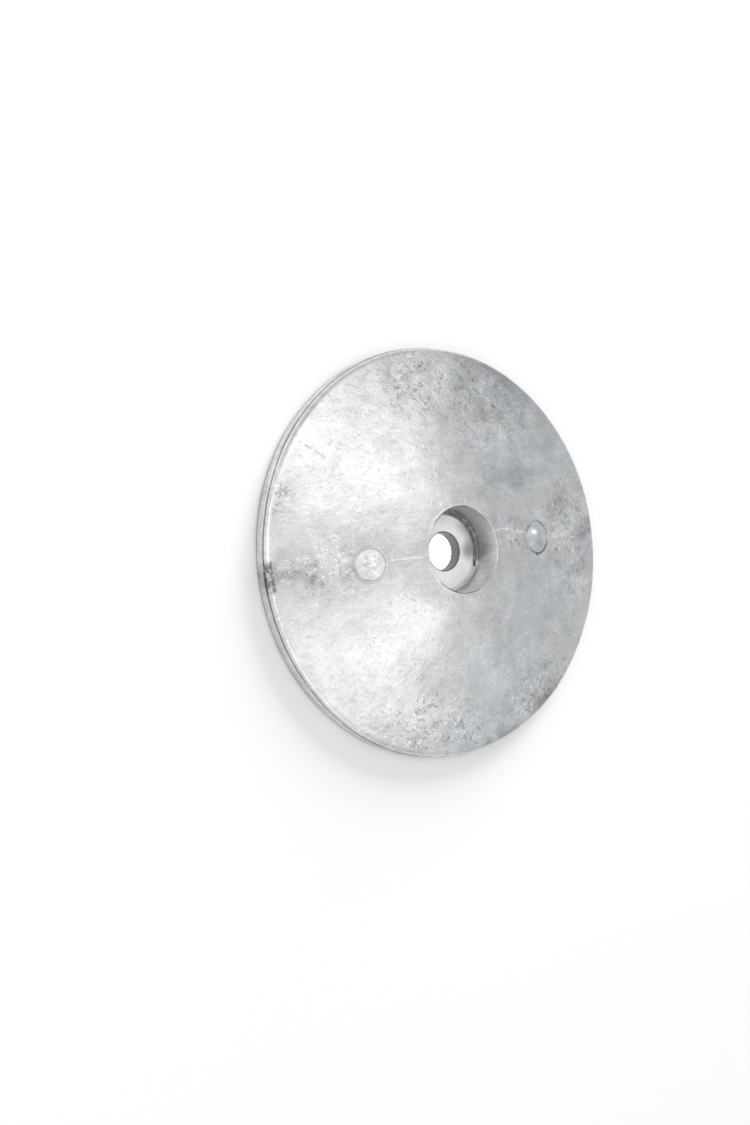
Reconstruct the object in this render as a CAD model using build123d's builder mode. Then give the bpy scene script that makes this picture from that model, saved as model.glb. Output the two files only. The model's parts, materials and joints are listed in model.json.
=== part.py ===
"""Sacrificial anode: a cast zinc disc with a shallow conical face that rounds off
into a low crown, a deep round recess for the lock nut that holds it, and a
clearance hole for the stud.

Millimetres. The origin is the centre of the flat back face, and +Z runs along
the stud, out of the conical front. The two casting marks lie on the X axis.
"""

import os
from math import acos, atan2, cos, hypot, sin, sqrt, tan

from build123d import *

# The disc, seen from the side
disc_radius = 35.0
edge_height = 1.9          # straight band of the edge, cast in the lower half of the mould
parting_step = 0.15        # how far the upper half of the mould stands in
shoulder_height = 3.1      # where the edge would meet the face without its rounding
shoulder_rounding = 0.9
back_edge_chamfer = 0.2
mouth_height = 7.8         # the thickness of the disc at the recess mouth
crown_radius = 75.0        # the rounding that the cone runs into round the mouth

# The stud and the socket that tightens its nut, and the room they have
stud_diameter = 6.0
stud_clearance = 0.2
socket_diameter = 14.0
socket_clearance = 0.25

# The recess, as its core left it: a small ledge runs round the foot of the wall
web_thickness = 2.25
ledge_width = 0.55
ledge_height = 0.55
core_rounding = 0.45
hole_rounding = 0.2

# The two casting marks on the face
mark_distance = 17.9       # from the axis to the middle of each mark
mark_groove_width = 0.3
mark_groove_depth = 0.12
gate_pad_radius = 2.65
gate_pad_height = 0.12
gate_scar_radius = 1.2     # where the sprue was broken off
gate_scar_depth = 0.1
vent_button_radius = 2.7
vent_button_height = 0.5
mark_root = 0.5            # how deep a mark is rooted in the disc

tolerance = 0.001          # for finding an edge by its place

# What follows from these sizes
upper_radius = disc_radius - parting_step
hole_radius = stud_diameter / 2 + stud_clearance
recess_radius = socket_diameter / 2 + socket_clearance
recess_foot_radius = recess_radius - ledge_width
recess_depth = mouth_height - web_thickness
ledge_level = web_thickness + ledge_height
crown_centre = mouth_height - sqrt(crown_radius**2 - recess_radius**2)
shoulder_rise = shoulder_height - crown_centre
face_slope = atan2(upper_radius, shoulder_rise) - acos(
    crown_radius / hypot(upper_radius, shoulder_rise)
)
cone_top = (crown_radius * sin(face_slope), crown_centre + crown_radius * cos(face_slope))
crown_top = (0, crown_centre + crown_radius)
mark_level = shoulder_height + (upper_radius - mark_distance) * tan(face_slope)


def face_plane(side):
    """The plane that touches the face at a mark: side is -1 or +1 along X."""
    return Plane(
        origin=(side * mark_distance, 0, mark_level),
        x_dir=(cos(face_slope), 0, -side * sin(face_slope)),
        z_dir=(side * sin(face_slope), 0, cos(face_slope)),
    )


def recess_rings(level):
    """The round edges inside the recess at one height, the smallest first."""
    rings = anode_disc.edges().filter_by(GeomType.CIRCLE)
    rings = rings.filter_by(lambda ring: ring.radius < recess_radius + tolerance)
    rings = rings.filter_by_position(Axis.Z, level - tolerance, level + tolerance)
    return rings.sort_by(SortBy.RADIUS)


gate_plane = face_plane(-1)
vent_plane = face_plane(+1)

with BuildPart() as anode_disc:
    # The outside of the disc is one section, turned round the axis
    with BuildSketch(Plane.YZ) as section:
        with BuildLine():
            outside = Polyline(
                (0, 0),
                (disc_radius, 0),
                (disc_radius, edge_height),
                (upper_radius, edge_height),
                (upper_radius, shoulder_height),
                cone_top,
            )
            crown = TangentArc(outside @ 1, crown_top, tangent=outside % 1)
            Line(crown @ 1, outside @ 0)
        make_face()
        shoulder_corner = section.vertices().group_by(Axis.X)[-2].sort_by(Axis.Y)[-1]
        fillet(shoulder_corner, shoulder_rounding)
        back_corner = section.vertices().group_by(Axis.X)[-1].sort_by(Axis.Y)[0]
        chamfer(back_corner, back_edge_chamfer)
    revolve(axis=Axis.Z)

    # The recess for nut and socket, with its ledge, and the stud's hole through the web
    with Locations((0, 0, mouth_height)):
        CounterBoreHole(
            radius=recess_foot_radius,
            counter_bore_radius=recess_radius,
            counter_bore_depth=recess_depth - ledge_height,
            depth=recess_depth,
        )
    with Locations((0, 0, web_thickness)):
        Hole(radius=hole_radius)
    fillet([recess_rings(ledge_level)[-1], recess_rings(web_thickness)[-1]], core_rounding)
    fillet(recess_rings(web_thickness)[0], hole_rounding)

    # The gate pad: a flat round pad inside a thin groove, with the sprue's scar
    with BuildSketch(gate_plane):
        Circle(gate_pad_radius + mark_groove_width)
        Circle(gate_pad_radius, mode=Mode.SUBTRACT)
    extrude(amount=mark_groove_depth, both=True, mode=Mode.SUBTRACT)
    with BuildSketch(gate_plane.offset(-mark_root)):
        Circle(gate_pad_radius)
    extrude(amount=mark_root + gate_pad_height)
    with BuildSketch(gate_plane.offset(gate_pad_height)):
        Circle(gate_scar_radius)
    extrude(amount=-gate_scar_depth, mode=Mode.SUBTRACT)

    # The vent button: a smooth low dome inside the same kind of groove
    with BuildSketch(vent_plane):
        Circle(vent_button_radius + mark_groove_width)
        Circle(vent_button_radius, mode=Mode.SUBTRACT)
    extrude(amount=mark_groove_depth, both=True, mode=Mode.SUBTRACT)
    vent_section = Plane(
        origin=vent_plane.origin, x_dir=vent_plane.x_dir, z_dir=-vent_plane.y_dir
    )
    with BuildSketch(vent_section):
        with BuildLine():
            dome = ThreePointArc(
                (-vent_button_radius, 0), (0, vent_button_height), (vent_button_radius, 0)
            )
            Polyline(
                dome @ 1,
                (vent_button_radius, -mark_root),
                (-vent_button_radius, -mark_root),
                dome @ 0,
            )
        make_face()
        split(bisect_by=Plane.YZ)
    revolve(axis=Axis(vent_plane.origin, vent_plane.z_dir))

anode_disc.part.label = "anode_disc"

os.makedirs("parts", exist_ok=True)
export_step(anode_disc.part, "parts/anode_disc.step")
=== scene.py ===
"""A cast zinc anode disc, laid flat on its back on a white light table.

Metres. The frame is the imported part's own: the origin is the centre of the flat
back, +Z runs along the stud, and the two casting marks lie on the X axis.
"""

import json
from math import acos, atan2, ceil, cos, degrees, exp, hypot, pi, radians, sin, sqrt, tan

import bmesh
import bpy
from mathutils import Matrix, Vector


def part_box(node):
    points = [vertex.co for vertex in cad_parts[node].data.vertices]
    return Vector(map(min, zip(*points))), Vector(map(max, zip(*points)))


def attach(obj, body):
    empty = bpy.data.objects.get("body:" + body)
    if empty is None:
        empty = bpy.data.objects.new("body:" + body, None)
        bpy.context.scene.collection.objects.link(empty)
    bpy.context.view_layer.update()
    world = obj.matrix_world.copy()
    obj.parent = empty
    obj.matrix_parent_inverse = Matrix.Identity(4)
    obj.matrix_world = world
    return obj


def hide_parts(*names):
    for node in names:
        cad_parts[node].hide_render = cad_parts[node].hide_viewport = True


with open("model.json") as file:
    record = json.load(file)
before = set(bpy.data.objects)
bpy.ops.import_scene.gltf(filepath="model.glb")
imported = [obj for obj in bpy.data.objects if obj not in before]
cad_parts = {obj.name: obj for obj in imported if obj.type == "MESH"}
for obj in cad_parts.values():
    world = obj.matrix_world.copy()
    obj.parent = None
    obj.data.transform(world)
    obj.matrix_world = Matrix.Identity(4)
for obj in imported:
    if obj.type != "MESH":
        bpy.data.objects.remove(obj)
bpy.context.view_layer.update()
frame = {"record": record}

# The turned form
# One zinc casting, poured in a two-part mould with a core for the recess. The lower
# half of the mould gave the back and the straight edge band, the upper half the cone.

disc_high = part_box("anode_disc")[1]
mounts = {mount["name"]: mount for mount in frame["record"]["mounts"]}
disc_radius = disc_high.x
mouth_height = disc_high.z
hole_radius = mounts["stud_hole"]["dims"]["r_mm"] / 1000
recess_radius = mounts["nut_recess"]["dims"]["r_mm"] / 1000
web_thickness = mounts["nut_seat"]["pos_m"][2]
edge_height = 0.0019
parting_step = 0.00015
shoulder_height = 0.0031
shoulder_rounding = 0.0009
back_edge_chamfer = 0.0002
crown_radius = 0.075
mouth_rounding = 0.00004
parting_groove_depth = 0.0002
parting_groove_width = 0.0004
parting_groove_bevel = 0.00008
ledge_width = 0.00055
ledge_height = 0.00055
core_rounding = 0.00045
hole_rounding = 0.0002
turning_steps = 540
face_step = 0.00031
plain_step = 0.0025
tolerance = 1e-6           # for finding and merging points
edge_tolerance = 1e-7      # for finding an edge by its middle

upper_radius = disc_radius - parting_step
recess_foot_radius = recess_radius - ledge_width
ledge_level = web_thickness + ledge_height
crown_centre = mouth_height - sqrt(crown_radius**2 - recess_radius**2)
shoulder_rise = shoulder_height - crown_centre
face_slope = atan2(upper_radius, shoulder_rise) - acos(
    crown_radius / hypot(upper_radius, shoulder_rise)
)
cone_top_radius = crown_radius * sin(face_slope)


def face_height(radius):
    """The height of the face: a cone that runs into a low crown round the mouth."""
    if radius > cone_top_radius:
        return shoulder_height + (upper_radius - radius) * tan(face_slope)
    return crown_centre + sqrt(crown_radius**2 - radius**2)


def edit(piece):
    """Takes one piece, and nothing else, into edit mode."""
    bpy.ops.object.select_all(action="DESELECT")
    piece.select_set(True)
    bpy.context.view_layer.objects.active = piece
    bpy.ops.object.mode_set(mode="EDIT")


def pick(piece, kind, test):
    """Selects the vertices, edges or faces of a piece that pass a test, and no others."""
    bpy.ops.mesh.select_mode(type=kind)
    bpy.ops.mesh.select_all(action="DESELECT")
    mesh = bmesh.from_edit_mesh(piece.data)
    elements = {"VERT": mesh.verts, "EDGE": mesh.edges, "FACE": mesh.faces}[kind]
    for element in elements:
        if test(element):
            element.select_set(True)
    bmesh.update_edit_mesh(piece.data)


def draw_section(name, corners):
    """A wire through the given corners, which starts as a circle with as many points."""
    bpy.ops.object.select_all(action="DESELECT")
    bpy.ops.mesh.primitive_circle_add(vertices=len(corners), radius=disc_radius)
    wire = bpy.context.object
    wire.name = name
    for vertex, corner in zip(wire.data.vertices, corners):
        vertex.co = corner
    return wire


def edge_middle(edge):
    """The point halfway along an edge."""
    return (edge.verts[0].co + edge.verts[1].co) / 2


def round_corner(wire, corner, radius, turn, segments):
    """Rounds one corner of a wire that turns by the given angle."""
    pick(wire, "VERT", lambda vertex: (vertex.co - Vector(corner)).length < tolerance)
    bpy.ops.mesh.bevel(
        affect="VERTICES", offset_type="OFFSET", offset=radius * tan(turn / 2), segments=segments
    )


def divide_runs(wire, step_at):
    """Divides each straight run of a wire into steps no longer than its place asks for."""
    mesh = bmesh.from_edit_mesh(wire.data)
    runs = [(edge_middle(edge), edge.calc_length()) for edge in mesh.edges]
    for middle, length in runs:
        cuts = ceil(length / step_at(middle)) - 1
        if cuts > 0:
            pick(wire, "EDGE", lambda edge: (edge_middle(edge) - middle).length < edge_tolerance)
            bpy.ops.mesh.subdivide(number_cuts=cuts)


mouth_turn = atan2(recess_radius, mouth_height - crown_centre)
crown_steps = ceil((face_slope - mouth_turn) * crown_radius / face_step)
crown_turns = [
    face_slope + (mouth_turn - face_slope) * step / crown_steps for step in range(crown_steps)
]
groove_top = edge_height + parting_groove_width
shoulder_corner = (upper_radius, 0, shoulder_height)
mouth_corner = (recess_radius, 0, mouth_height)
ledge_corner = (recess_foot_radius, 0, ledge_level)
ledge_root = (recess_radius, 0, ledge_level)
floor_root = (recess_foot_radius, 0, web_thickness)
hole_mouth = (hole_radius, 0, web_thickness)
casting = draw_section("anode_casting", [
    (hole_radius, 0, 0),
    (disc_radius - back_edge_chamfer, 0, 0),
    (disc_radius, 0, back_edge_chamfer),
    (disc_radius, 0, edge_height - parting_groove_bevel),
    (disc_radius - parting_groove_bevel, 0, edge_height),
    (upper_radius - parting_groove_depth, 0, edge_height + parting_groove_bevel),
    (upper_radius - parting_groove_depth, 0, groove_top - parting_groove_bevel),
    (upper_radius, 0, groove_top),
    shoulder_corner,
    *((crown_radius * sin(t), 0, crown_centre + crown_radius * cos(t)) for t in crown_turns),
    mouth_corner,
    ledge_root,
    ledge_corner,
    floor_root,
    hole_mouth,
])
edit(casting)
round_corner(casting, shoulder_corner, shoulder_rounding, pi / 2 - face_slope, 6)
round_corner(casting, mouth_corner, mouth_rounding, pi / 2, 2)
round_corner(casting, ledge_corner, core_rounding, pi / 2, 4)
round_corner(casting, floor_root, core_rounding, pi / 2, 4)
round_corner(casting, hole_mouth, hole_rounding, pi / 2, 2)
divide_runs(casting, lambda place: plain_step if place.z < tolerance else face_step)
bpy.ops.mesh.select_all(action="SELECT")
bpy.ops.mesh.spin(steps=turning_steps, angle=2 * pi, center=(0, 0, 0), axis=(0, 0, 1))
bpy.ops.mesh.select_all(action="SELECT")
bpy.ops.mesh.remove_doubles(threshold=tolerance)
bpy.ops.mesh.normals_make_consistent(inside=False)
bpy.ops.object.mode_set(mode="OBJECT")

# The gate pad
# The flat round pad on the -X side is where the metal was poured in. It stands in a
# thin groove, and the sprue that was broken off left a pitted scar in its middle.

mark_distance = 0.0179
mark_border = 0.0037
mark_opening = 0.00405
mark_steps = 120
mark_step = 0.00016
least_upward = 0.5         # how far a face must look up to be opened for a mark
groove_width = 0.0003
groove_depth = 0.00016
groove_bevel = 0.00005
pad_radius = 0.00265
pad_height = 0.00014
pad_bevel = 0.00012
pad_groove_depth = 0.00007
scar_place = Vector((-0.0178, 0, 0))
scar_radius = 0.0019
scar_depth = 0.00018
mark_level = face_height(mark_distance)


def mark_frame(side):
    """The middle of a mark on the face, the direction down the slope, and the one out of it."""
    middle = Vector((side * mark_distance, 0, mark_level))
    down = Vector((side * cos(face_slope), 0, -sin(face_slope)))
    out = Vector((side * sin(face_slope), 0, cos(face_slope)))
    return middle, down, out


def set_in_mark(side, name, profile):
    """Turns a profile, from a mark's middle outwards, and bridges it into the open face."""
    middle, down, out = mark_frame(side)
    mark = draw_section(name, [middle + down * reach + out * lift for reach, lift in profile])
    edit(mark)
    closing = (mark.data.vertices[0].co + mark.data.vertices[-1].co) / 2
    pick(mark, "EDGE", lambda edge: (edge_middle(edge) - closing).length < edge_tolerance)
    bpy.ops.mesh.delete(type="EDGE")
    divide_runs(mark, lambda place: mark_step)
    bpy.ops.mesh.select_all(action="SELECT")
    bpy.ops.mesh.spin(steps=mark_steps, angle=2 * pi, center=middle, axis=out)
    bpy.ops.mesh.select_all(action="SELECT")
    bpy.ops.mesh.remove_doubles(threshold=tolerance)
    bpy.ops.object.mode_set(mode="OBJECT")
    for vertex in mark.data.vertices:
        flat = mark_level - (abs(vertex.co.x) - mark_distance) * tan(face_slope)
        vertex.co.z += face_height(hypot(vertex.co.x, vertex.co.y)) - flat

    edit(casting)
    pick(casting, "FACE", lambda face: (
        face.normal.z > least_upward and (face.calc_center_median() - middle).length < mark_opening
    ))
    bpy.ops.mesh.delete(type="FACE")
    bpy.ops.object.mode_set(mode="OBJECT")
    mark.select_set(True)
    bpy.ops.object.join()
    edit(casting)
    pick(casting, "EDGE", lambda edge: edge.is_boundary)
    bpy.ops.mesh.bridge_edge_loops()
    bpy.ops.mesh.select_all(action="SELECT")
    bpy.ops.mesh.normals_make_consistent(inside=False)
    bpy.ops.object.mode_set(mode="OBJECT")


set_in_mark(-1, "gate_pad", [
    (0, pad_height),
    (pad_radius - pad_bevel, pad_height),
    (pad_radius, pad_height - pad_bevel),
    (pad_radius + groove_bevel, -pad_groove_depth),
    (pad_radius + groove_width - groove_bevel, -pad_groove_depth),
    (pad_radius + groove_width + groove_bevel, 0),
    (mark_border, 0),
])

# The vent button
# The smooth dome on the +X side is where air left the mould. The metal rose into a round
# pocket there, inside the same kind of groove. A low hump and a painted highlight make its gleam.

button_radius = 0.0027
button_height = 0.0005
hump_place = Vector((0.01775, 0.00075, 0))
hump_radius = 0.0007
hump_height = 0.00021
hump_reach = 3             # where the hump has died out, in its own radii
dome_steps = 14

dome_radius = (button_radius**2 + button_height**2) / (2 * button_height)
dome_reach = [button_radius * step / dome_steps for step in range(dome_steps + 1)]
dome_drop = dome_radius - button_height
set_in_mark(+1, "vent_button", [
    *((reach, sqrt(dome_radius**2 - reach**2) - dome_drop) for reach in dome_reach),
    (button_radius + groove_bevel, -groove_depth),
    (button_radius + groove_width - groove_bevel, -groove_depth),
    (button_radius + groove_width + groove_bevel, 0),
    (mark_border, 0),
])

for vertex in casting.data.vertices:
    reach = (vertex.co.xy - hump_place.xy).length / hump_radius
    if vertex.co.z > edge_height and reach < hump_reach:
        vertex.co.z += hump_height * exp(-reach**2 / 2)

# The flash
# Two hairline seams, where metal crept along the core's parting, run from the mouth to
# the marks. A faint burr lies along the right side of the mouth, no higher than the mouth.

seam_width = 0.00015
seam_height = 0.00003
seam_reach = 0.003         # how far the seams get from the X axis
left_seam = ((-7.3, 0.4), (-8.5, -0.1), (-11.0, 0.1), (-14.6, 0.3))
right_seam = ((7.1, 2.2), (8.2, 2.6), (10.5, 2.3), (12.5, 1.6), (14.6, 1.3))
burr_width = 0.00025
burr_height = 0.00002
seam_runs = [*zip(left_seam, left_seam[1:]), *zip(right_seam, right_seam[1:])]


def off_line(place, start, end):
    """How far a place lies from a straight line on the face, seen from above."""
    start, end = Vector(start) / 1000, Vector(end) / 1000
    along = end - start
    reach = (place.xy - start).dot(along) / along.length_squared
    return (place.xy - start - along * min(max(reach, 0), 1)).length


for vertex in casting.data.vertices:
    radius = hypot(vertex.co.x, vertex.co.y)
    if vertex.co.z > edge_height and recess_radius <= radius < mark_distance:
        if abs(vertex.co.y) < seam_reach:
            off = min(off_line(vertex.co, *run) for run in seam_runs)
            vertex.co.z += seam_height * max(1 - off / seam_width, 0)
        share = 1 - (radius - recess_radius) / burr_width
        vertex.co.z += burr_height * max(share, 0) * max(vertex.co.x / radius, 0)
        vertex.co.z = min(vertex.co.z, mouth_height)

# The cast skin
# The mould's sand and the zinc's own shrinking left the face slightly wavy, with low
# lumps. The broken sprue left pits on the gate pad, and the core a smoother recess.

lump_height = 0.00004
lump_size = 0.0026
swell_height = 0.00012
swell_size = 0.011
scar_grain = 0.0009
scar_softness = 0.67 * scar_radius
lip_width = 0.0002
recess_share = 0.25        # how strongly the relief shows in the recess, and on the back
back_share = 0.4
smoothing_angle = 35


def weigh(name, weight_at):
    """A vertex group of the casting whose weight depends on the place."""
    group = casting.vertex_groups.new(name=name)
    for vertex in casting.data.vertices:
        group.add([vertex.index], weight_at(vertex.co), "REPLACE")


def press_relief(name, scale, height, group, depth=2):
    """Displaces the casting inwards by a cloudy pattern of the given scale and height."""
    clouds = bpy.data.textures.new(name, "CLOUDS")
    clouds.noise_scale = scale
    clouds.noise_depth = depth
    relief = casting.modifiers.new(name, "DISPLACE")
    relief.texture = clouds
    relief.texture_coords = "LOCAL"
    relief.mid_level = 1.0
    relief.strength = height
    relief.vertex_group = group
    bpy.ops.object.modifier_apply(modifier=name)


def face_share(place):
    """How strongly the skin's relief shows: fully on the face, less in the recess and behind."""
    radius = hypot(place.x, place.y)
    if radius < recess_radius + lip_width:
        return recess_share
    return 1.0 if place.z > edge_height else back_share


def scar_share(place):
    """How deep the scar's pits go: fully in its middle, and less and less to its edge."""
    if place.z <= edge_height:
        return 0
    return min(max(1.5 - (place.xy - scar_place.xy).length / scar_softness, 0), 1)


weigh("skin", face_share)
bpy.ops.object.select_all(action="DESELECT")
casting.select_set(True)
bpy.context.view_layer.objects.active = casting
weigh("scar", scar_share)
press_relief("scar", scar_grain, scar_depth, "scar", depth=1)
press_relief("swell", swell_size, swell_height, "skin", depth=1)
press_relief("lumps", lump_size, lump_height, "skin")

bpy.ops.object.shade_smooth_by_angle(angle=radians(smoothing_angle))
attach(casting, "root")
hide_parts("anode_disc")

# The zinc's finish
# As-cast zinc, dull silver-grey: mottled with flakes and dark worm-like marks where it ran
# cold against the mould, smooth and faintly brushed elsewhere. Much of the studio's light
# and shade is painted on at fixed places, to suit the camera below.

zinc_grey = (0.72, 0.725, 0.73, 1)
zinc_blue = (0.675, 0.715, 0.745, 1)
zinc_warm = (0.745, 0.73, 0.72, 1)
zinc_green = (0.68, 0.73, 0.70, 1)
zinc_violet = (0.70, 0.69, 0.755, 1)
dome_blue = (0.62, 0.645, 0.675, 1)
dome_gleam = (0.98, 0.98, 0.98, 1)
core_grey = (0.72, 0.72, 0.71, 1)
core_floor = (0.94, 0.94, 0.93, 1)
core_wall = (0.55, 0.555, 0.55, 1)
core_green = (0.27, 0.285, 0.275, 1)
core_beige = (0.64, 0.63, 0.60, 1)
violet_reflection_tint = (0.32, 0.31, 0.37, 1)
painted_shade_dark = (0.17, 0.17, 0.165, 1)
bore_shade_colour = (0.13, 0.135, 0.13, 1)
core_black = (0.05, 0.05, 0.05, 1)
zinc_roughness = 0.34
core_roughness = 0.16      # added in the recess
roughness_spread = 0.12    # how much the lumps vary it
brightest = 1.35           # the most that the shading may lighten the skin
relief_unit = 0.001

zinc = bpy.data.materials.new("cast_zinc")
zinc.use_nodes = True
nodes = zinc.node_tree.nodes
shader = nodes["Principled BSDF"]


def connect(node, inputs):
    """Gives a node its inputs by name or number: another node's output, or a plain value."""
    for name, value in inputs.items():
        if isinstance(value, bpy.types.NodeSocket):
            zinc.node_tree.links.new(value, node.inputs[name])
        else:
            node.inputs[name].default_value = value


def measure(operation, a, b=0.0, c=0.0, clamp=False):
    """One step of arithmetic on the finish's numbers."""
    node = nodes.new("ShaderNodeMath")
    node.operation = operation
    node.use_clamp = clamp
    connect(node, {0: a, 1: b, 2: c})
    return node.outputs[0]


def product(first, *others):
    """Values multiplied: for masks, the places where all of them hold."""
    for other in others:
        first = measure("MULTIPLY", first, other)
    return first


def largest(first, *others):
    """The largest of several values: for masks, the places where any of them holds."""
    for other in others:
        first = measure("MAXIMUM", first, other)
    return first


def add(whole, value, share):
    """Adds a share of a value to the whole."""
    return measure("MULTIPLY_ADD", value, share, whole)


def between(value, low, high, at_low=0.0, at_high=1.0):
    """Turns a value that goes from low to high into a soft step."""
    node = nodes.new("ShaderNodeMapRange")
    node.interpolation_type = "SMOOTHSTEP"
    connect(node, {0: value, 1: low, 2: high, 3: at_low, 4: at_high})
    return node.outputs[0]


def below(value, low, high):
    """1 below low, fading to 0 at high."""
    return between(value, low, high, 1.0, 0.0)


def band(value, low, high, blur):
    """1 where a value lies between two limits, fading to 0 over a blur outside them."""
    return product(between(value, low - blur, low), below(value, high, high + blur))


def placed(vector, middle=(0, 0, 0), size=(1, 1, 1), turn=0):
    """Coordinates whose origin is at a middle, turned by degrees, and measured in a size."""
    node = nodes.new("ShaderNodeMapping")
    node.vector_type = "TEXTURE"
    rotation = (0, 0, radians(turn))
    connect(node, {"Vector": vector, "Location": middle, "Scale": size, "Rotation": rotation})
    return node.outputs[0]


def pushed(scale, detail, reach):
    """Coordinates in millimetres, pushed about by a cloudy pattern."""
    push = nodes.new("ShaderNodeTexNoise")
    connect(push, {"Vector": millimetres, "Scale": scale, "Detail": detail})
    node = nodes.new("ShaderNodeVectorMath")
    node.operation = "MULTIPLY_ADD"
    connect(node, {0: push.outputs["Color"], 1: (reach, reach, 0), 2: millimetres})
    return node.outputs[0]


def cloud(vector, size, detail=3.0, roughness=0.55, twist=0.0):
    """A cloudy pattern of a given size in millimetres, from 0 to 1."""
    node = nodes.new("ShaderNodeTexNoise")
    connect(node, {
        "Vector": vector,
        "Scale": 1 / size,
        "Detail": detail,
        "Roughness": roughness,
        "Distortion": twist,
    })
    return node.outputs[0]


def grains(vector, size):
    """Scattered grains: the distance from the nearest one's middle, and a number for each."""
    node = nodes.new("ShaderNodeTexVoronoi")
    node.voronoi_dimensions = "2D"
    connect(node, {"Vector": vector, "Scale": 1 / size})
    split = nodes.new("ShaderNodeSeparateColor")
    connect(split, {0: node.outputs["Color"]})
    return node.outputs["Distance"], split.outputs[0]


def some_grains(vector, size, core, rim, fewest, most):
    """Spots with a soft rim, on only those grains whose number is high enough."""
    distance, number = grains(vector, size)
    return product(below(distance, core, rim), between(number, fewest, most))


def distance_to(x, y):
    """How far the surface is from an upright line through a point of the face."""
    node = nodes.new("ShaderNodeVectorMath")
    node.operation = "LENGTH"
    connect(node, {0: placed(flat_place, middle=(x, y, 0))})
    return node.outputs["Value"]


def patch(middle, size, turn=0):
    """A soft round or long patch on the face: 1 in its middle, 0 from its edge outwards."""
    node = nodes.new("ShaderNodeTexGradient")
    node.gradient_type = "SPHERICAL"
    connect(node, {"Vector": placed(wavering, (*middle, 5), (*size, 30), turn)})
    return node.outputs["Fac"]


def patches(low, high, spots):
    """Several patches together, as a soft step from low to high."""
    return between(largest(0.0, *(patch(*spot) for spot in spots)), low, high)


def line(start, end, width):
    """A soft line on the face, such as a scratch, from one point to another."""
    run = Vector(end) - Vector(start)
    middle = (Vector(start) + Vector(end)) / 2
    turn = degrees(atan2(run.y, run.x))
    node = nodes.new("ShaderNodeVectorMath")
    node.operation = "ABSOLUTE"
    connect(node, {0: placed(flat_place, (*middle, 0), (1, 1, 1), turn)})
    split = nodes.new("ShaderNodeSeparateXYZ")
    connect(split, {0: node.outputs[0]})
    half = run.length / 2
    return product(
        below(split.outputs["X"], half - 0.3, half + 0.1), below(split.outputs["Y"], 0.0, width)
    )


def tint(base, colour, share):
    """Mixes a colour into another by a share."""
    node = nodes.new("ShaderNodeMix")
    node.data_type = "RGBA"
    connect(node, {"Factor": share, "A": base, "B": colour})
    return node.outputs["Result"]


# Places, in millimetres: across and along the disc, the height, and the distance from the
# axis and from each mark. The wavering and the curled places break up what is drawn on them.
object_place = nodes.new("ShaderNodeTexCoord").outputs["Object"]
millimetres = placed(object_place, size=(0.001, 0.001, 0.001))
flat_place = placed(millimetres, size=(1, 1, 1000))
wavering = placed(pushed(0.22, 4.0, 9), middle=(4.5, 4.5, 0))
curled = pushed(0.45, 2.0, 1.8)
split_place = nodes.new("ShaderNodeSeparateXYZ")
connect(split_place, {0: millimetres})
across, along, level = (split_place.outputs[axis] for axis in "XYZ")
radius = distance_to(0, 0)
to_gate = distance_to(-17.95, 0)
to_vent = distance_to(17.92, 0)

mouth, foot, bore, pad, button = (
    1000 * size
    for size in (recess_radius, recess_foot_radius, hole_radius, pad_radius, button_radius)
)
top = 1000 * mouth_height

# The parts of the recess and of its lip
in_recess = product(
    below(radius, mouth - 0.01, mouth + 0.05), below(level, top - 0.18, top - 0.08)
)
in_bore = below(radius, bore + 0.2, bore + 0.3)
on_floor = product(below(radius, foot - 0.5, foot - 0.1), below(level, 2.6, 3.0))
on_ledge = product(band(radius, foot - 0.25, mouth - 0.01, 0.35), below(level, 3.1, 3.4))
ledge_flat = product(on_ledge, between(radius, foot + 0.02, foot + 0.14))
ledge_corner_line = product(
    band(radius, foot - 0.06, foot + 0.06, 0.05), between(level, 2.7, 2.76)
)
ledge_foot = product(band(radius, mouth - 0.2, mouth - 0.1, 0.1), below(level, 2.95, 3.15))
on_wall = product(band(radius, mouth - 0.25, mouth + 0.03, 0.1), between(level, 3.2, 3.5))
on_lip = product(
    band(radius, mouth - 0.05, mouth + 0.11, 0.06), between(level, top - 0.3, top - 0.1)
)
# A wedge of painted shade on the wall, widest at its foot.
depth = measure("SUBTRACT", 7.7, level)
off_wedge = measure("ABSOLUTE", add(measure("ADD", along, 0.35), depth, 0.10))
wedge = product(below(add(off_wedge, depth, -0.25), 0.15, 0.55), on_wall)

# The parts of the edge and of the two marks
# Painted shade in the parting groove.
in_parting = product(between(radius, 34.2, 34.4), band(level, 1.9, 2.22, 0.1))
# Painted shade along the back edge, where it sits on the table.
back_corner = product(between(radius, 34.6, 34.7), below(level, 0.28, 0.5))
# The pad is lightened in the shading below, as a painted reflection.
on_pad = below(to_gate, pad - 0.3, pad)
# Painted shade in the groove round the pad.
round_pad = band(to_gate, pad, pad + 0.35, 0.25)
# Painted shade in an arc outside the pad's groove, on its upper right.
arc_by_pad = product(band(to_gate, 3.35, 3.5, 0.15), patch((-14.9, 1.6), (1.8, 2.4)))
on_scar = below(distance_to(-17.8, 0), 1.0, 2.2)
on_dome = below(to_vent, button - 0.1, button + 0.04)
# Painted shade in the groove round the dome, heavier on its lower right.
dome_side = between(add(across, along, -0.6), 16.0, 19.6, 0.35, 1.0)
round_dome = product(band(to_vent, button + 0.06, button + 0.34, 0.08), dome_side)
dome_dot = below(distance_to(17.5, -3.05), 0.1, 0.4)
# A painted highlight on the dome, up and to the left of its middle.
gleam = below(distance_to(17.1, 1.1), 0.35, 0.9)

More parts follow.
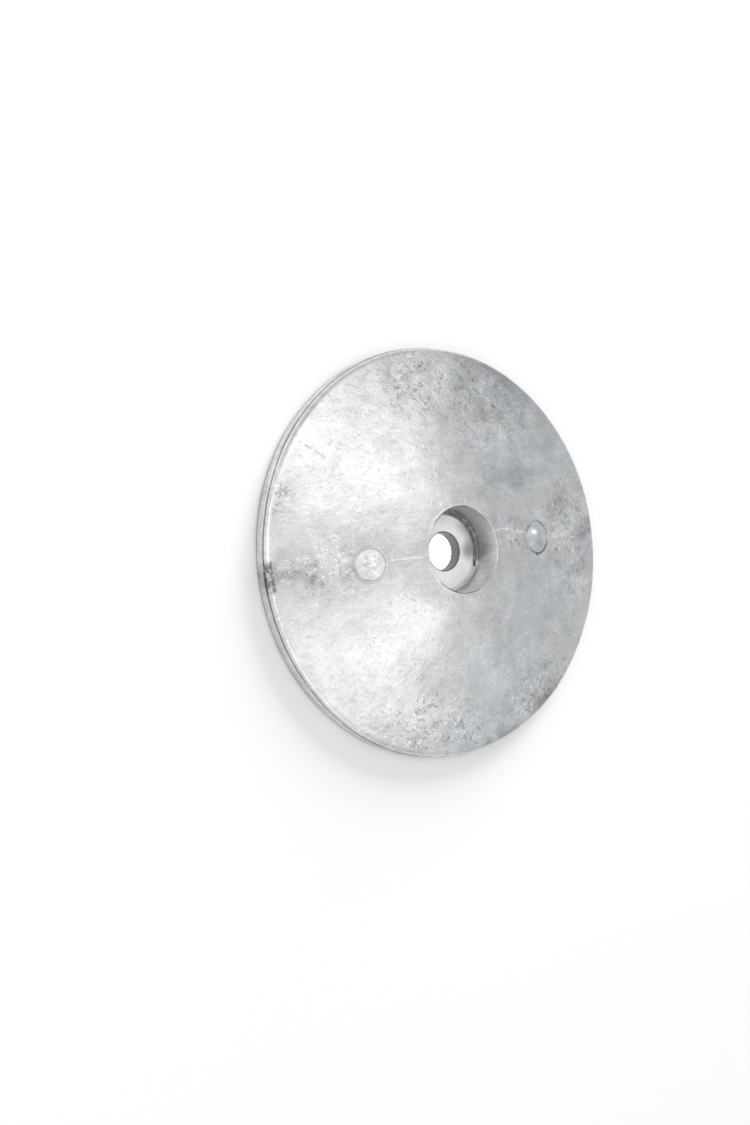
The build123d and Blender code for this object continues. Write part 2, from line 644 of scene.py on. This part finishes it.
# The kinds of skin, and the painted light and shade. Each patch has its centre and its half
# size in millimetres, and its turn in degrees.
mottled = patches(0.0, 0.8, [
    ((12, 25), (16, 12), -25),
    ((-2, 29), (13, 9)),
    ((27, -1), (11, 14)),
    ((-27, 1), (11, 6)),
    ((-8, -29), (17, 7), -8),
    ((16, -27), (12, 7), 20),
    ((-31, 12), (3, 4)),
    ((11, 1), (5, 4)),
])
plain = largest(on_pad, on_dome, in_recess)
mottled = measure("SUBTRACT", mottled, plain, clamp=True)
bluish = patches(0.0, 0.6, [
    ((22, 14.5), (17, 5.5), -3),
    ((14, 11), (11, 4.5)),
    ((17, -10), (12, 8)),
    ((8, -22), (13, 9), 15),
    ((3, -30), (10, 5)),
    ((18, 24), (9, 5), -35),
])
warm = patches(0.1, 0.7, [
    ((-20, 13), (13, 7)),
    ((-26, -5.5), (10, 4)),
    ((-14, -14), (8, 8)),
])
# Painted shade at fixed places on the face.
painted_shade_patches = patches(0.0, 0.7, [
    ((13, 25.5), (14, 9), -25),
    ((15, 11), (10, 3)),
    ((-29, 0.5), (5, 4)),
    ((31, 0), (2.5, 4)),
    ((26, 19), (6, 8), -45),
    ((18, -28.5), (6, 4), 28),
])
# Painted shade along parts of the edge.
painted_edge_shade = patches(0.0, 0.8, [
    ((5, -34.5), (11, 3), 5),
    ((-33.5, 0), (3, 4)),
    ((17.5, 29.8), (12, 4), -32),
    ((16, -31.5), (8, 3), 27),
])
# Painted light at fixed places on the face, with a painted highlight along the left shoulder.
painted_light_patches = patches(0.0, 0.7, [
    ((-6, 20), (7, 6)),
    ((27, 18), (7, 6), -45),
    ((-12, -24), (7, 5)),
    ((0, -17), (6, 5)),
    ((8, -22), (8, 6), 15),
    ((-34.3, 4), (2.2, 9)),
    ((-26, 10), (7, 3), 20),
    ((-18, 12), (10, 7)),
    ((-16, -13), (12, 9)),
])


def by_place(at_smooth, at_mottled):
    """A number that goes from its value on smooth skin to that on mottled skin."""
    return add(at_smooth, mottled, at_mottled - at_smooth)


def crinkles(middle, size, width):
    """Short curled lines: where a cloudy pattern crosses its mean, broken up by another one."""
    pattern = cloud(placed(curled, middle=middle), size, detail=1.0)
    crossing = measure("ABSOLUTE", measure("SUBTRACT", pattern, 0.5))
    gaps = between(cloud(placed(millimetres, middle=middle), 1.3, detail=1.0), 0.50, 0.56)
    return product(below(crossing, 0.0, width), gaps)


# The patterns, from soft facets and swells to pits, bright specks and brushing
facets = grains(curled, 1.9)[1]
feathers = cloud(placed(curled, size=(1.6, 0.45, 1), turn=-30), 1.0, roughness=0.6)
flakes = cloud(millimetres, 0.8, roughness=0.6, twist=0.8)
lumps = cloud(millimetres, 2.8)
swells = cloud(curled, 6.0, detail=2.0)
dark_crinkles = crinkles((0, 0, 0), 1.7, 0.07)
light_crinkles = crinkles((13, 7, 0), 1.4, 0.06)
slit_place = placed(curled, size=(1.1, 0.36, 1), turn=-45)
slits = some_grains(slit_place, 1.3, 0.20, 0.30, 0.66, 0.70)
pits = some_grains(millimetres, 1.25, 0.06, 0.2, 0.80, 0.84)
speck_place = placed(curled, middle=(3.3, 8.1, 0), size=(1.3, 0.6, 1), turn=20)
specks = some_grains(speck_place, 0.8, 0.22, 0.36, 0.80, 0.84)
level_brushing = cloud(placed(curled, size=(4, 0.45, 1), turn=-3), 1.0, roughness=0.6)
rising_brushing = cloud(placed(curled, size=(3, 0.5, 1), turn=24), 1.0, roughness=0.6)
lower = below(along, -17.0, -11.0)
brushing = add(level_brushing, measure("SUBTRACT", rising_brushing, level_brushing), lower)
stains = between(cloud(placed(curled, size=(1, 0.7, 1)), 0.9, detail=2.0), 0.42, 0.56)
seams = largest(
    product(largest(0.0, *(line(*run, 0.2) for run in zip(left_seam, left_seam[1:]))), 0.35),
    largest(0.0, *(line(*run, 0.2) for run in zip(right_seam, right_seam[1:]))),
    product(line((13.3, 1.45), (14.4, 1.3), 0.3), 3.0),
)
scratches = largest(
    0.0,
    line((-25.4, 20.2), (-24.0, 19.3), 0.14),
    line((-24.0, 19.3), (-22.2, 17.7), 0.12),
    line((-12.7, -5.5), (-11.8, -6.4), 0.16),
    line((-11.8, -6.4), (-10.5, -7.1), 0.14),
)
# Dark flecks along the left shoulder.
dark_shoulder_flecks = product(
    band(radius, 34.0, 34.8, 0.3),
    band(along, -1.5, 2.0, 1.5),
    between(across, -30.0, -32.0),
    between(flakes, 0.40, 0.52),
)

# The shading: each pattern lightens or darkens the skin about its own mean, by one share
# where the skin is smooth and by another where it is mottled
shade = 1.0
for pattern, mean, at_smooth, at_mottled in (
    (facets, 0.5, 0.07, 0.20),
    (feathers, 0.5, 0.12, 0.30),
    (flakes, 0.5, 0.07, 0.12),
    (lumps, 0.5, 0.22, 0.40),
    (swells, 0.5, 0.40, 0.65),
    (brushing, 0.5, 0.31, 0.10),
    (dark_crinkles, 0.06, -0.07, -0.30),
    (light_crinkles, 0.06, 0.09, 0.26),
    (slits, 0.1, -0.07, -0.30),
    (pits, 0.0, -0.09, -0.22),
    (specks, 0.05, 0.12, 0.28),
):
    shade = add(shade, measure("SUBTRACT", pattern, mean), by_place(at_smooth, at_mottled))
# The seams' hairline ridges are real; their lighter line is a painted highlight.
shade = add(shade, seams, 0.38)
shade = add(shade, scratches, -0.18)
shade = add(shade, measure("SUBTRACT", 1.0, shade), product(in_recess, 0.5))
shade = add(shade, measure("SUBTRACT", stains, 0.8), product(on_scar, 0.22))
# Painted light and shade at fixed places, and two dark marks: a dot below the dome and flecks on
# the shoulder.
for place, change in (
    (painted_shade_patches, -0.17),
    (painted_edge_shade, -0.30),
    (painted_light_patches, 0.08),
    (on_pad, 0.20),
    (round_pad, -0.14),
    (arc_by_pad, -0.25),
    (round_dome, -0.52),
    (dome_dot, -0.6),
    (dark_shoulder_flecks, -0.6),
    (in_parting, -0.55),
    (back_corner, -0.5),
):
    shade = product(shade, add(1.0, place, change))

# The recess: a duller core skin, green above and beige below on the wall, with painted shade
# darkening the ledge at the foot of the wall.
floor_corner = product(
    between(radius, 4.2, 6.6), band(along, 0.0, 3.6, 1.5), between(across, 1.0, 4.0, 0.0, 0.7)
)
floor_violet_reflection = between(distance_to(5.4, -0.5), 0.4, 2.4, 0.85, 0.0)
ledge_shade_place = between(along, -3.6, -1.6, 0.0, 0.9)
ledge_shade = measure("MULTIPLY_ADD", measure("SUBTRACT", 0.5, flakes), 1.2, ledge_shade_place, clamp=True)
foot_gaps = between(cloud(millimetres, 1.1, detail=1.0), 0.32, 0.50, 0.15, 0.85)
skin = core_grey
for colour, share in (
    (core_floor, on_floor),
    (core_wall, on_wall),
    (core_green, product(on_wall, between(along, -1.5, 2.4))),
    (core_beige, product(on_wall, band(along, -5.5, -3.5, 1.2))),
    # painted shade on the floor near the ledge, on its upper right
    (core_green, product(on_floor, floor_corner)),
    # a violet painted reflection on the floor
    (violet_reflection_tint, product(on_floor, floor_violet_reflection)),
    (core_wall, product(ledge_flat, between(along, -3.6, -2.4, 0.8, 0.0))),
    # painted shade on the ledge: solid on its upper part, blotchy on its lower
    (painted_shade_dark, product(on_ledge, ledge_shade)),
    # painted shade at the foot of the wall, broken up
    (painted_shade_dark, product(ledge_foot, foot_gaps)),
    # a painted highlight along the ledge's rounded edge
    (core_floor, product(ledge_corner_line, 0.75)),
    # a wedge of painted shade on the wall
    (painted_shade_dark, product(wedge, 0.9)),
    (core_black, product(on_ledge, line((6.3, -2.1), (5.85, -3.5), 0.24))),
    # painted shade in the bore
    (bore_shade_colour, in_bore),
):
    skin = tint(skin, colour, share)

# The face: bluish and warm areas, with blotches of green and violet on the right
hues = cloud(placed(curled, size=(1.6, 1, 1)), 3.6, detail=2.0)
hue_share = between(across, -8.0, 8.0, 0.1, 0.6)
face_skin = zinc_grey
for colour, share in (
    (zinc_blue, bluish),
    (zinc_warm, warm),
    (zinc_green, product(between(hues, 0.54, 0.66), hue_share)),
    (zinc_violet, product(between(hues, 0.34, 0.46, 0.8, 0.0), hue_share)),
    (dome_blue, on_dome),
    # a painted highlight on the dome
    (dome_gleam, product(gleam, on_dome)),
    (skin, in_recess),
    # a painted highlight along the right side of the mouth's lip
    (dome_gleam, product(on_lip, between(across, 2.5, 4.5))),
    # painted shade along the left side of the mouth's lip
    (painted_shade_dark, product(on_lip, band(across, -5.0, 1.5, 1.2))),
):
    face_skin = tint(face_skin, colour, share)
shaded = nodes.new("ShaderNodeVectorMath")
shaded.operation = "SCALE"
connect(shaded, {0: face_skin, "Scale": measure("MINIMUM", shade, brightest)})

# The fine relief, in millimetres, which is flatter on the dome and in the recess
height = product(lumps, 0.03)
height = add(height, specks, 0.02)
height = add(height, seams, 0.010)
height = add(height, scratches, -0.025)
for pattern, at_smooth, at_mottled in (
    (flakes, 0.005, 0.007),
    (feathers, 0.005, 0.026),
    (facets, 0.004, 0.014),
    (brushing, 0.012, 0.0),
    (slits, -0.008, -0.03),
    (pits, -0.008, -0.03),
    (dark_crinkles, -0.006, -0.02),
    (light_crinkles, 0.006, 0.02),
):
    height = add(height, pattern, by_place(at_smooth, at_mottled))
height = product(height, add(1.0, largest(on_dome, in_recess), -0.85))
relief = nodes.new("ShaderNodeBump")
connect(relief, {"Height": height, "Distance": relief_unit, "Strength": 1.0})

roughness = add(zinc_roughness, measure("SUBTRACT", lumps, 0.5), roughness_spread)
roughness = add(roughness, in_recess, core_roughness)
roughness = add(roughness, on_dome, add(0.08, gleam, -0.20))
metallic = add(1.0, on_floor, -0.4)
metallic = add(metallic, largest(on_floor, in_recess), -0.5)
connect(shader, {
    "Metallic": metallic,
    "Base Color": shaded.outputs[0],
    "Roughness": roughness,
    "Normal": relief.outputs[0],
})
casting.data.materials.append(zinc)

# The light table
# A white acrylic sheet on which the disc lies. Under the disc the sheet itself glows, a painted
# glow with no lamp behind it, which shines up through the stud's hole.

floor_size = 6.0
table_white = 0.78
table_roughness = 0.6
sheet_glow = 1.3
glow_reach = 0.012

bpy.ops.object.select_all(action="DESELECT")
bpy.ops.mesh.primitive_plane_add(size=floor_size, location=(0, 0, 0))
table = bpy.context.object
table.name = "light_table"
acrylic = bpy.data.materials.new("white_acrylic")
acrylic.use_nodes = True
table_nodes = acrylic.node_tree.nodes
table_links = acrylic.node_tree.links
table_place = table_nodes.new("ShaderNodeTexCoord")
reach = table_nodes.new("ShaderNodeVectorMath")
reach.operation = "LENGTH"
glow = table_nodes.new("ShaderNodeMapRange")
glow.inputs["From Min"].default_value = glow_reach
glow.inputs["From Max"].default_value = 2 * glow_reach
glow.inputs["To Min"].default_value = sheet_glow
glow.inputs["To Max"].default_value = 0.0
sheet = table_nodes["Principled BSDF"]
sheet.inputs["Base Color"].default_value = (table_white, table_white, table_white, 1)
sheet.inputs["Roughness"].default_value = table_roughness
sheet.inputs["Emission Color"].default_value = (1, 1, 1, 1)
table_links.new(table_place.outputs["Object"], reach.inputs[0])
table_links.new(reach.outputs["Value"], glow.inputs["Value"])
table_links.new(glow.outputs["Result"], sheet.inputs["Emission Strength"])
table.data.materials.append(acrylic)

# The studio light
# Two long softboxes hang side by side over the table, with a gap between them that the
# disc mirrors as a darker band. Two more stand lower, on the left and in front, and a low
# lamp at the back right, which reflections leave out, lays the disc's soft shadow.


def hang_softbox(name, place, width, depth, brightness):
    """A softbox hung at a place, facing straight down. Its brightness is its radiance."""
    lamp = bpy.data.lights.new(name, "AREA")
    lamp.shape = "RECTANGLE"
    lamp.size = width
    lamp.size_y = depth
    lamp.energy = brightness * pi * width * depth
    softbox = bpy.data.objects.new(name, lamp)
    softbox.location = place
    bpy.context.scene.collection.objects.link(softbox)
    return softbox


hang_softbox("upper_softbox", (0.13, 0.345, 1.0), 0.98, 0.21, 2.0)
hang_softbox("lower_softbox", (0.245, -0.36, 1.0), 0.70, 0.18, 2.0)
left_softbox = hang_softbox("left_softbox", (-0.80, 0.22, 0.66), 0.80, 0.80, 1.3)
front_softbox = hang_softbox("front_softbox", (-0.52, -0.70, 0.62), 0.75, 0.80, 1.05)
shadow_lamp = hang_softbox("shadow_lamp", (0.54, 0.77, 0.33), 0.52, 0.52, 13.5)
shadow_lamp.visible_glossy = False
for softbox in (left_softbox, front_softbox, shadow_lamp):
    softbox.rotation_euler = Vector(softbox.location).to_track_quat("Z", "Y").to_euler()

room_tint = (0.99, 0.997, 1.0, 1)
room_strength = 0.63
room = bpy.data.worlds.new("pale_room")
bpy.context.scene.world = room
room.use_nodes = True
backdrop = room.node_tree.nodes["Background"]
backdrop.inputs["Color"].default_value = room_tint
backdrop.inputs["Strength"].default_value = room_strength

# The camera
# It stands over the left of the disc and looks down on it, a little turned.
camera_place = Vector((-0.11578, 0.00688, 0.15489))
aim = Vector((-0.012895, -0.000058, 0.0))
camera_turn = radians(-7.970)
lens_length = 35.772

back = (camera_place - aim).normalized()
right = Vector((0, 1, 0)).cross(back).normalized()
up = back.cross(right)
turned = Matrix((right, up, back)).transposed() @ Matrix.Rotation(camera_turn, 3, "Z")
camera = bpy.data.objects.new("camera", bpy.data.cameras.new("camera"))
camera.data.lens = lens_length
camera.data.clip_start = 0.005
camera.matrix_world = Matrix.Translation(camera_place) @ turned.to_4x4()
bpy.context.scene.collection.objects.link(camera)
bpy.context.scene.camera = camera
bpy.context.scene.view_settings.view_transform = "Standard"
